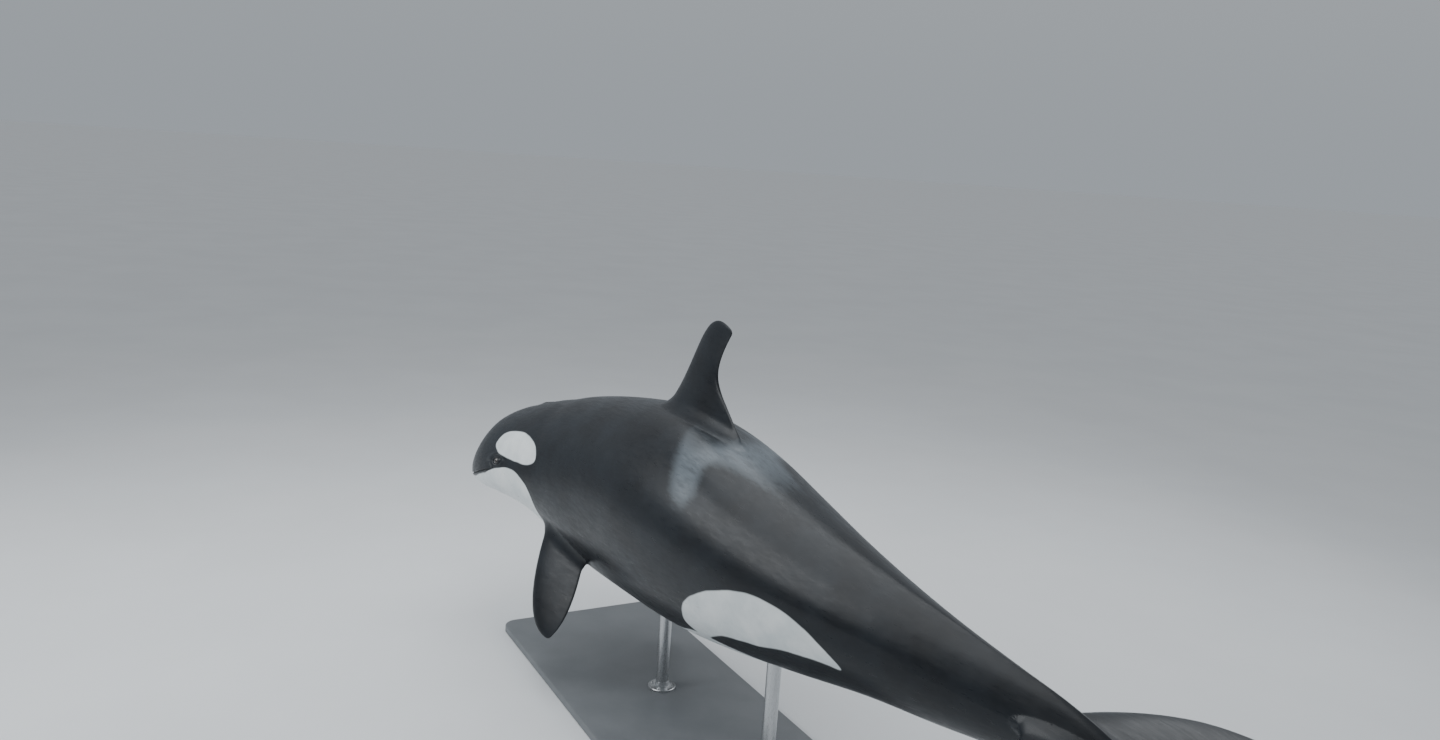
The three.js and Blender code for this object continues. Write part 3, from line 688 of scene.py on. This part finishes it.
def vectors_of(items, name):
    values = np.empty(len(items) * 3, np.float32)
    items.foreach_get(name, values)
    return values.reshape(-1, 3).astype(float)


def add_attribute(mesh, name, values):
    kind = "FLOAT" if values.ndim == 1 else "FLOAT_VECTOR"
    attribute = mesh.attributes.new(name, kind, "POINT")
    attribute.data.foreach_set("value" if values.ndim == 1 else "vector", values.astype(np.float32).ravel())


# Markings
def outline_distance(outline, points, steps=12):
    """Distance of each point from a closed smooth outline, positive inside."""
    corners = np.array(outline, float)
    before, after, beyond = np.roll(corners, 1, 0), np.roll(corners, -1, 0), np.roll(corners, -2, 0)
    t = np.linspace(0, 1, steps, endpoint=False)[:, None, None]
    smooth = 0.5 * (2 * corners + (after - before) * t
                    + (2 * before - 5 * corners + 4 * after - beyond) * t**2
                    + (3 * corners - before - 3 * after + beyond) * t**3)
    line = smooth.transpose(1, 0, 2).reshape(-1, 2)
    following = np.roll(line, -1, 0)
    nearest = np.full(len(points), np.inf)
    inside = np.zeros(len(points), bool)
    for a, b in zip(line, following):
        along = b - a
        share = np.clip(((points - a) @ along) / (along @ along), 0, 1)
        nearest = np.minimum(nearest, np.linalg.norm(points - a - share[:, None] * along, axis=1))
        crosses = (a[1] > points[:, 1]) != (b[1] > points[:, 1])
        level = along[1] if along[1] else 1
        inside ^= crosses & (points[:, 0] < a[0] + (points[:, 1] - a[1]) * along[0] / level)
    return np.where(inside, nearest, -nearest)


def near_outline(outline, points, margin=0.3):
    """outline_distance, worked out only near the outline."""
    corners = np.array(outline, float)
    low, high = corners.min(0) - margin, corners.max(0) + margin
    near = ((points > low) & (points < high)).all(1)
    found = np.full(len(points), -margin)
    found[near] = outline_distance(outline, points[near])
    return found


def girth_from_ridge(x, y, z):
    """Distance round the body from the ridge of the back, nearly."""
    top, _, half, level, _, _ = sections_at(x)
    angle = np.radians(180 - angle_from_belly(x, y, z))
    return angle * (0.5 * half + 0.5 * (top - level))


def fluke_white(x, y, z):
    """Depth in the white under the flukes, which keeps clear of their edges."""
    out = np.abs(y)
    t = np.linspace(0, 1, 120)
    front, back = bezier(FLUKE_LEADING, t), bezier(FLUKE_TRAILING, t)
    ahead = x - np.interp(out, front[:, 1], front[:, 0])
    behind = np.interp(out, back[:, 1], back[:, 0]) - x
    from_tip = (FLUKE_LEADING[3][1] - out) * 0.6
    below = (fluke_middle(x, out) - z) * 8
    edges = np.stack([ahead - 0.02, behind, from_tip, out + 0.03]) / FLUKE_WHITE_ROUND
    nearest = edges.min(0)
    rounded = (nearest - np.log(np.exp(nearest - edges).sum(0))) * FLUKE_WHITE_ROUND
    return np.minimum(rounded - FLUKE_WHITE_MARGIN, below)


def mark_skin(mesh, places):
    """Stores, for each vertex, its place on the straight spine and how deep it lies in a marking."""
    straight = unbend(places)
    x, y, z = straight.T
    outside = np.abs(y) - half_width_at(x, z)
    top, bottom, half, _, _, _ = sections_at(x)
    on_body = (z < top + FIN_ABOVE) & (z > bottom - FIN_ABOVE) & (outside < FIN_BESIDE)
    on_body |= x < FINS_START
    angle = angle_from_belly(x, y, z)
    edge = curve_through(*np.array(WHITE_BELLY, float).T, x)
    belly = np.radians(edge - angle) * half
    jaw = mouth_height_at(x) - BELOW_LIP * (2 - rising(x, BELOW_LIP_START)) - z
    belly = jaw + (belly - jaw) * rising(x, JAW_TO_BELLY)
    side = np.stack([x, z], 1)
    patch = near_outline(EYE_PATCH, side)
    lobe = near_outline(FLANK_LOBE, side)
    white = np.where(on_body, np.maximum.reduce([belly, patch, lobe]), FAR_OUTSIDE)
    white = np.maximum(white, np.where(x > FLUKE_WHITE_START, fluke_white(x, y, z), FAR_OUTSIDE))
    saddle = near_outline(SADDLE, np.stack([x, girth_from_ridge(x, y, z)], 1))
    start, end = SADDLE_FADE
    thinning = 0.08 - 0.11 * (x - start) / (end - start)
    below_fin = top - 0.03 + 0.08 * rising(x, FIN_END) - z
    saddle = np.minimum.reduce([saddle, below_fin, thinning])
    add_attribute(mesh, "rest", straight)
    add_attribute(mesh, "white", white)
    add_attribute(mesh, "saddle", saddle)


# Roots of the fins
def flare_root(fin, tree):
    """Widens a fin where it leaves the body, so that the two meet in a hollow curve."""
    mesh = fin.data
    places = vectors_of(mesh.vertices, "co")
    normals = vectors_of(mesh.vertex_normals, "vector")
    flats = vectors_of(mesh.attributes["flat"].data, "vector")
    for k, place in enumerate(places):
        found, body_normal, _, distance = tree.find_nearest(Vector(place), FLARE_REACH)
        if found is None:
            continue
        body_normal = np.array(body_normal)
        sideways = normals[k] - body_normal * (normals[k] @ body_normal)
        sideways -= flats[k] * (sideways @ flats[k]) * (1 - FLARE_FACES)
        places[k] = place + sideways * FLARE_REACH * (1 - distance / FLARE_REACH) ** FLARE_CURVE
    mesh.attributes.remove(mesh.attributes["flat"])
    mesh.vertices.foreach_set("co", places.astype(np.float32).ravel())
    mesh.update()


def surface_distance(tree, places, limit):
    found = [tree.find_nearest(Vector(place), limit)[3] for place in places]
    return np.array([limit if distance is None else distance for distance in found])


def soften_joints(mesh, places, body_tree, fin_trees):
    """Rounds the inner corner between the body and each fin."""
    near = np.zeros(len(places), bool)
    from_fin = np.full(len(places), JOINT_REACH)
    for tree, low, high in fin_trees:
        inside = ((places > low - JOINT_REACH) & (places < high + JOINT_REACH)).all(1)
        chosen = np.flatnonzero(inside)
        distance = surface_distance(tree, places[chosen], JOINT_REACH)
        from_fin[chosen] = np.minimum(from_fin[chosen], distance)
        near[chosen] |= distance < JOINT_REACH
    chosen = np.flatnonzero(near)
    from_body = np.full(len(places), JOINT_REACH)
    from_body[chosen] = surface_distance(body_tree, places[chosen], JOINT_REACH)
    weight = 1 - ease(np.maximum(from_fin, from_body) / JOINT_REACH)
    edges = np.empty(len(mesh.edges) * 2, np.int32)
    mesh.edges.foreach_get("vertices", edges)
    edges = edges.reshape(-1, 2)
    edges = edges[(weight[edges] > 0).any(1)]
    start, end = np.concatenate([edges, edges[:, ::-1]]).T
    count = np.bincount(start, minlength=len(places))
    moving = np.flatnonzero((weight > 0) & (count > 0))
    for _ in range(JOINT_ROUNDS):
        mean = np.stack([np.bincount(start, places[end, k], len(places)) for k in range(3)], 1)
        mean[moving] /= count[moving, None]
        places[moving] += 0.5 * weight[moving, None] * (mean[moving] - places[moving])
    mesh.vertices.foreach_set("co", places.astype(np.float32).ravel())
    mesh.update()
    return places


def tree_of(piece):
    mesh = piece.data
    places = vectors_of(mesh.vertices, "co")
    faces = [face.vertices[:] for face in mesh.polygons]
    return BVHTree.FromPolygons(places.tolist(), faces), places.min(0), places.max(0)


FLESH_NODES = ["head", "lower_jaw", "chest", "midbody", "abdomen", "tail_stock", "dorsal_fin",
               "flipper_left", "flipper_right", "fluke_left", "fluke_right"]


def build_skin():
    """One closed skin in place of all the flesh."""
    body = build_body()
    fins = [build_dorsal_fin(), build_flipper(-1), build_flipper(1), build_fluke(-1), build_fluke(1)]
    body_tree = tree_of(body)[0]
    for fin in fins:
        flare_root(fin, body_tree)
    fin_trees = [tree_of(fin) for fin in fins]
    skin = joined(body, fins)
    remove_pockets(skin.data)
    places = soften_joints(skin.data, vectors_of(skin.data.vertices, "co"), body_tree, fin_trees)
    mark_skin(skin.data, places)
    skin.data.shade_smooth()
    skin.data.materials.clear()
    dress(skin, skin_material(), "skin_black", *FLESH_NODES)


# Eyes
EYE_AROUND = 64
EYE_ROWS = 48


def build_eye(side, material, step=0.02):
    """A ball whose pole looks out of the head, with the clear front standing a little proud."""
    here, ahead = (float(half_width_at(x, EYE_Z)) for x in (EYE_X, EYE_X - step))
    inward = np.array([here - ahead, -step]) / math.hypot(here - ahead, step)
    sunk = EYE_SUNK * inward  # along and across the head
    middle = bend(np.array([EYE_X + sunk[0], side * (here + sunk[1]), EYE_Z]))
    _, right, up = spine_frame(np.array(EYE_X))
    along = spine_direction(np.array(EYE_X))
    axis = right * side - along * EYE_FORWARD - up * EYE_DOWN
    axis /= np.linalg.norm(axis)
    first = np.cross(axis, up)
    first /= np.linalg.norm(first)
    second = np.cross(axis, first)
    polar = np.linspace(0, math.pi, EYE_ROWS)[1:-1]
    radius = EYE_RADIUS + fold(polar, *CORNEA)
    across = circle(EYE_AROUND) @ np.array([first, second, axis])
    rows = [middle + reach * (math.cos(p) * axis + math.sin(p) * across) for p, reach in zip(polar, radius)]
    front, back = middle + radius[0] * axis, middle - EYE_RADIUS * axis
    points, triangles = skin_rings(np.array(rows), front, back)
    name = "eye_ball_left" if side < 0 else "eye_ball_right"
    eye = mesh_object(name, points, triangles)
    rest = points - middle
    from_axis = np.arccos(np.clip(rest @ axis / np.linalg.norm(rest, axis=1), -1, 1))
    add_attribute(eye.data, "ring", np.degrees(from_axis))
    add_attribute(eye.data, "rest", rest)
    eye.data.shade_smooth()
    dress(eye, material, "eye", "eye_left" if side < 0 else "eye_right")


# Stand
BASE_CORNER_RADIUS = 0.09
BASE_BEVEL = 0.008
CORNER_STEPS = 24
BEVEL_STEPS = 6
ROD_RADIUS = 0.038
ROD_SIDES = 96
ROD_SUNK = 0.012  # how far a rod reaches into the belly's skin
# Profiles of a collar and of a bolt in it, as radius and height above the base
COLLAR = [(0.0342, 0), (0.085, 0), (0.085, 0.013), (0.082, 0.016), (0.05, 0.016), (0.042, 0.02),
          (0.041, 0.045), (0.0342, 0.047)]
BOLT = [(0.008, 0.015), (0.008, 0.02), (0.0064, 0.022), (0.0036, 0.022), (0.0032, 0.019)]
BOLT_CIRCLE = 0.063
BOLTS = 4
BOLT_SIDES = 24


def rounded_outline(inset):
    """The base's outline, drawn in by inset, about its own middle."""
    half = (base_high - base_low) / 2
    radius = BASE_CORNER_RADIUS - inset
    corners = [(1, 1), (-1, 1), (-1, -1), (1, -1)]
    points = []
    for quarter, (right, up) in enumerate(corners):
        centre = np.array([right * (half.x - BASE_CORNER_RADIUS), up * (half.y - BASE_CORNER_RADIUS)])
        turn = np.radians(np.linspace(90 * quarter, 90 * quarter + 90, CORNER_STEPS))
        points.append(centre + radius * np.stack([np.cos(turn), np.sin(turn)], 1))
    return np.concatenate(points)


def build_base():
    middle = (base_low + base_high) / 2
    bevel = np.linspace(0, math.pi / 2, BEVEL_STEPS + 1)
    levels = [(BASE_BEVEL * (1 - math.sin(a)), base_low.z + BASE_BEVEL * (1 - math.cos(a))) for a in bevel]
    levels += [(BASE_BEVEL * (1 - math.cos(a)), base_high.z - BASE_BEVEL * (1 - math.sin(a))) for a in bevel]
    rows = []
    for inset, height in levels:
        outline = rounded_outline(inset)
        rows.append(np.column_stack([outline + [middle.x, middle.y], np.full(len(outline), height)]))
    points, triangles = skin_rings(np.array(rows))
    base = mesh_object("base_plate", points, triangles)
    smooth_by_angle(base)
    dress(base, base_material(), "stand_base", "stand_base")


def smooth_by_angle(piece, degrees=35):
    piece.data.shade_smooth()
    edited = bmesh.new()
    edited.from_mesh(piece.data)
    for edge in edited.edges:
        edge.smooth = len(edge.link_faces) == 2 and edge.calc_face_angle(0) < math.radians(degrees)
    edited.to_mesh(piece.data)
    edited.free()


def turned(name, profile, foot, middle, sides):
    """A turned solid about an upright axis, from pairs of a radius and a height above its foot."""
    rows = [radius * circle(sides) + [middle[0], middle[1], foot + height] for radius, height in profile]
    points, triangles = skin_rings(np.array(rows))
    piece = mesh_object(name, points, triangles)
    smooth_by_angle(piece)
    return piece


def build_rod(node, name, material):
    """A rod with a collar at its foot, held by bolts."""
    low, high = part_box(node)
    middle = (low + high) / 2
    profile = [(ROD_RADIUS, 0), (ROD_RADIUS, high.z + ROD_SUNK - low.z)]
    rod = turned(name, profile, low.z, middle, ROD_SIDES)
    dress(rod, material, "stand_rod", node)
    collar = turned(name + "_collar", COLLAR, base_high.z, middle, ROD_SIDES)
    dress(collar, material, "stand_rod")
    for k in range(BOLTS):
        turn = math.radians(45 + 360 / BOLTS * k)
        at = (middle[0] + BOLT_CIRCLE * math.cos(turn), middle[1] + BOLT_CIRCLE * math.sin(turn))
        bolt = turned(f"{name}_bolt_{k + 1}", BOLT, base_high.z, at, BOLT_SIDES)
        dress(bolt, material, "stand_rod")


# Materials
class Look:
    """The shader of a material or of the sky, and short calls for the nodes that feed it."""

    def __init__(self, owner):
        owner.use_nodes = True
        self.owner = owner
        self.tree = owner.node_tree
        self.shader = self.tree.nodes.get("Principled BSDF") or self.tree.nodes["Background"]

    def node(self, kind, inputs=(), **settings):
        made = self.tree.nodes.new(kind)
        for setting, value in settings.items():
            setattr(made, setting, value)
        for name, value in dict(inputs).items():
            self.feed(made.inputs[name], value)
        return made

    def feed(self, socket, value):
        """Sets a socket to a number, a colour or a scale, or links it to another."""
        if isinstance(value, tuple):
            socket.default_value = (*value, 1)[:len(socket.default_value)]
        elif isinstance(value, (int, float)):
            socket.default_value = value
        else:
            self.tree.links.new(value, socket)

    def into(self, name, value):
        self.feed(self.shader.inputs[name], value)

    def attribute(self, name, output):
        return self.node("ShaderNodeAttribute", attribute_name=name).outputs[output]

    def stretched(self, vector, scale):
        return self.node("ShaderNodeMapping", {"Vector": vector, "Scale": scale}).outputs["Vector"]

    def noise(self, vector, scale, detail=3, roughness=0.5):
        inputs = {"Vector": vector, "Scale": scale, "Detail": detail, "Roughness": roughness}
        return self.node("ShaderNodeTexNoise", inputs).outputs["Fac"]

    def math(self, operation, a, b):
        made = self.node("ShaderNodeMath", operation=operation)
        for socket, value in zip(made.inputs, (a, b)):
            self.feed(socket, value)
        return made.outputs[0]

    def between(self, value, low, high, to_low=0.0, to_high=1.0):
        inputs = {"Value": value, "From Min": low, "From Max": high, "To Min": to_low, "To Max": to_high}
        return self.node("ShaderNodeMapRange", inputs, interpolation_type="SMOOTHSTEP").outputs["Result"]

    def mix(self, share, first, second):
        made = self.node("ShaderNodeMix", data_type="RGBA")
        for name, value in (("Factor", share), ("A", first), ("B", second)):
            kind = "VALUE" if name == "Factor" else "RGBA"
            socket = next(s for s in made.inputs if s.name == name and s.type == kind)
            self.feed(socket, value)
        return next(s for s in made.outputs if s.type == "RGBA")

    def bump(self, height, strength, distance, after=None):
        inputs = {"Height": height, "Strength": strength, "Distance": distance}
        if after is not None:
            inputs["Normal"] = after
        return self.node("ShaderNodeBump", inputs).outputs["Normal"]

    def set(self, **values):
        for name, value in values.items():
            self.into(name.replace("_", " "), value)


BLACK_DEEP = (0.005, 0.0065, 0.009)
BLACK_SOFT = (0.011, 0.0145, 0.019)
WHITE_CLEAN = (0.76, 0.79, 0.79)
WHITE_DULL = (0.6, 0.65, 0.66)
SADDLE_GREY = (0.12, 0.142, 0.162)


def skin_material():
    look = Look(bpy.data.materials.new("orca_skin"))
    rest = look.attribute("rest", "Vector")
    flow = look.stretched(rest, (1.2, 9, 9))
    cloudy = look.noise(rest, 3.2, 4, 0.6)
    streaky = look.noise(flow, 5, 5, 0.62)
    fine = look.noise(look.stretched(rest, (4, 60, 60)), 6, 4, 0.6)
    black = look.mix(look.between(cloudy, 0.3, 0.72), BLACK_DEEP, BLACK_SOFT)
    grey = look.mix(look.between(streaky, 0.35, 0.7), SADDLE_GREY, tuple(c * 0.6 for c in SADDLE_GREY))
    saddle = look.math("ADD", look.attribute("saddle", "Fac"), look.math("MULTIPLY", streaky, 0.11))
    saddle = look.between(look.math("SUBTRACT", saddle, 0.055), -0.04, 0.05, 0, 0.92)
    dark = look.mix(saddle, black, grey)
    rubbed = look.math("MULTIPLY", look.between(fine, 0.66, 0.74), 0.05)
    dark = look.mix(rubbed, dark, (0.3, 0.33, 0.35))
    wander = look.math("MULTIPLY", look.math("SUBTRACT", look.noise(rest, 7, 2, 0.5), 0.5), 0.012)
    white_share = look.between(look.math("ADD", look.attribute("white", "Fac"), wander), -0.005, 0.005)
    white = look.mix(look.between(look.noise(rest, 5, 4, 0.6), 0.35, 0.75), WHITE_CLEAN, WHITE_DULL)
    look.into("Base Color", look.mix(white_share, dark, white))
    gloss = look.between(look.noise(flow, 7, 4, 0.6), 0.3, 0.7, 0.27, 0.4)
    look.into("Roughness", gloss)
    swell = look.bump(look.noise(look.stretched(rest, (1, 2, 2)), 7, 2, 0.5), 0.35, 0.006)
    lines = look.bump(fine, 0.12, 0.0016, swell)
    look.into("Normal", look.bump(look.noise(rest, 260, 3, 0.6), 0.12, 0.0006, lines))
    look.set(Coat_Weight=0.08, Coat_Roughness=0.18, Specular_IOR_Level=0.27)
    return look.owner


def eye_material():
    """Pupil, iris, its dark rim and the ball, by the angle from the pole in degrees."""
    look = Look(bpy.data.materials.new("orca_eye"))
    ring = look.attribute("ring", "Fac")
    rest = look.attribute("rest", "Vector")
    fibres = look.noise(rest, 420, 4, 0.7)
    iris = look.mix(look.between(fibres, 0.3, 0.7), (0.016, 0.01, 0.008), (0.045, 0.027, 0.018))
    rim = look.mix(look.between(ring, 27, 33), iris, (0.02, 0.016, 0.015))
    ball = look.mix(look.between(ring, 34, 60), rim, (0.07, 0.055, 0.05))
    colour = look.mix(look.between(ring, 16, 18.5), (0.002, 0.002, 0.003), ball)
    look.into("Base Color", colour)
    look.into("Roughness", look.between(fibres, 0.2, 0.8, 0.04, 0.09))
    look.set(Coat_Weight=0.8, Coat_Roughness=0.02)
    return look.owner


def base_material():
    look = Look(bpy.data.materials.new("base_paint"))
    place = look.node("ShaderNodeTexCoord").outputs["Object"]
    cloudy = look.noise(place, 2.5, 4, 0.6)
    grain = look.noise(place, 420, 3, 0.6)
    paint = look.mix(look.between(cloudy, 0.3, 0.7), (0.13, 0.14, 0.15), (0.17, 0.18, 0.19))
    look.into("Base Color", paint)
    look.into("Roughness", look.between(cloudy, 0.3, 0.7, 0.42, 0.52))
    look.into("Normal", look.bump(grain, 0.15, 0.0006))
    return look.owner


def rod_material():
    look = Look(bpy.data.materials.new("brushed_steel"))
    place = look.node("ShaderNodeTexCoord").outputs["Object"]
    brushed = look.noise(look.stretched(place, (90, 90, 3)), 14, 4, 0.7)
    steel = look.mix(look.between(brushed, 0.3, 0.7), (0.46, 0.47, 0.48), (0.6, 0.61, 0.62))
    look.into("Base Color", steel)
    look.into("Roughness", look.between(brushed, 0.3, 0.7, 0.24, 0.36))
    look.into("Normal", look.bump(brushed, 0.08, 0.0004))
    look.set(Metallic=1.0)
    return look.owner


def floor_material():
    look = Look(bpy.data.materials.new("pale_floor"))
    place = look.node("ShaderNodeTexCoord").outputs["Object"]
    cloudy = look.noise(place, 0.6, 4, 0.6)
    pale = look.mix(look.between(cloudy, 0.3, 0.7), (0.72, 0.735, 0.75), (0.75, 0.765, 0.78))
    look.into("Base Color", pale)
    look.set(Roughness=0.8, Specular_IOR_Level=0.1)
    return look.owner


# Floor, light and camera
FLOOR_RADIUS = 450
FLOOR_SIDES = 96


def build_floor():
    floor = mesh_object("floor", FLOOR_RADIUS * circle(FLOOR_SIDES), [range(FLOOR_SIDES)])
    floor.data.materials.append(floor_material())


def add_light(name, place, target, size, power, colour):
    data = bpy.data.lights.new(name, "AREA")
    data.shape = "RECTANGLE"
    data.size, data.size_y = size
    data.energy = power
    data.color = colour
    light = bpy.data.objects.new(name, data)
    light.location = place
    light.rotation_euler = (target - place).to_track_quat("-Z", "Y").to_euler()
    bpy.context.scene.collection.objects.link(light)


# Each light's name, place from the middle of the spine, size, power and colour
LIGHTS = [("overhead", (-1, -0.6, 5.2), (8, 5), 290, (0.95, 0.98, 1)),
          ("key", (-2.6, -6, 4), (5, 4), 240, (0.95, 0.98, 1)),
          ("rim", (1, 6, 3.2), (6, 3), 80, (0.94, 0.97, 1))]
SKY_STRENGTH = 0.56
SKY_LOW = (0.63, 0.685, 0.745)
SKY_HIGH = (0.86, 0.9, 0.94)
SKY_RISE = 0.5  # height of the direction at which the sky is brightest


def light_scene():
    middle = Vector(SPINE_MIDDLE)
    for name, offset, size, power, colour in LIGHTS:
        add_light(name, middle + Vector(offset), middle, size, power, colour)
    sky = Look(bpy.data.worlds.new("studio"))
    direction = sky.node("ShaderNodeTexCoord").outputs["Generated"]
    height = sky.node("ShaderNodeSeparateXYZ", {"Vector": direction}).outputs["Z"]
    rise = sky.between(height, 0, SKY_RISE)
    sky.into("Color", sky.mix(rise, SKY_LOW, SKY_HIGH))
    sky.set(Strength=SKY_STRENGTH)
    bpy.context.scene.world = sky.owner


# The camera's direction and place from the middle of the spine
CAMERA_AZIMUTH = 60.7
CAMERA_ELEVATION = 10.7
CAMERA_ROLL = 3.9
CAMERA_BACK = 1.126 * LENGTH
CAMERA_RIGHT = 0.011 * LENGTH
CAMERA_UP = 0.154 * LENGTH
LENS = 27.83
SENSOR = 36
SIGHT = 500  # how far it sees


def place_camera():
    azimuth, elevation = math.radians(CAMERA_AZIMUTH), math.radians(CAMERA_ELEVATION)
    back = Vector((math.sin(azimuth) * math.cos(elevation), -math.cos(azimuth) * math.cos(elevation),
                   math.sin(elevation)))
    level = Vector((0, 0, 1)).cross(back).normalized()
    upright = back.cross(level)
    roll = math.radians(CAMERA_ROLL)
    right = level * math.cos(roll) + upright * math.sin(roll)
    up = upright * math.cos(roll) - level * math.sin(roll)
    place = Vector(SPINE_MIDDLE) + back * CAMERA_BACK + right * CAMERA_RIGHT + up * CAMERA_UP
    data = bpy.data.cameras.new("camera")
    data.sensor_width = SENSOR
    data.lens = LENS
    data.clip_end = SIGHT
    camera = bpy.data.objects.new("camera", data)
    camera.matrix_world = Matrix.Translation(place) @ Matrix((right, up, back)).transposed().to_4x4()
    bpy.context.scene.collection.objects.link(camera)
    bpy.context.scene.camera = camera


place_camera()
build_floor()
light_scene()
build_skin()
eye_look = eye_material()
for side in (-1, 1):
    build_eye(side, eye_look)
build_base()
steel = rod_material()
build_rod("stand_rod_front", "rod_front", steel)
build_rod("stand_rod_rear", "rod_rear", steel)
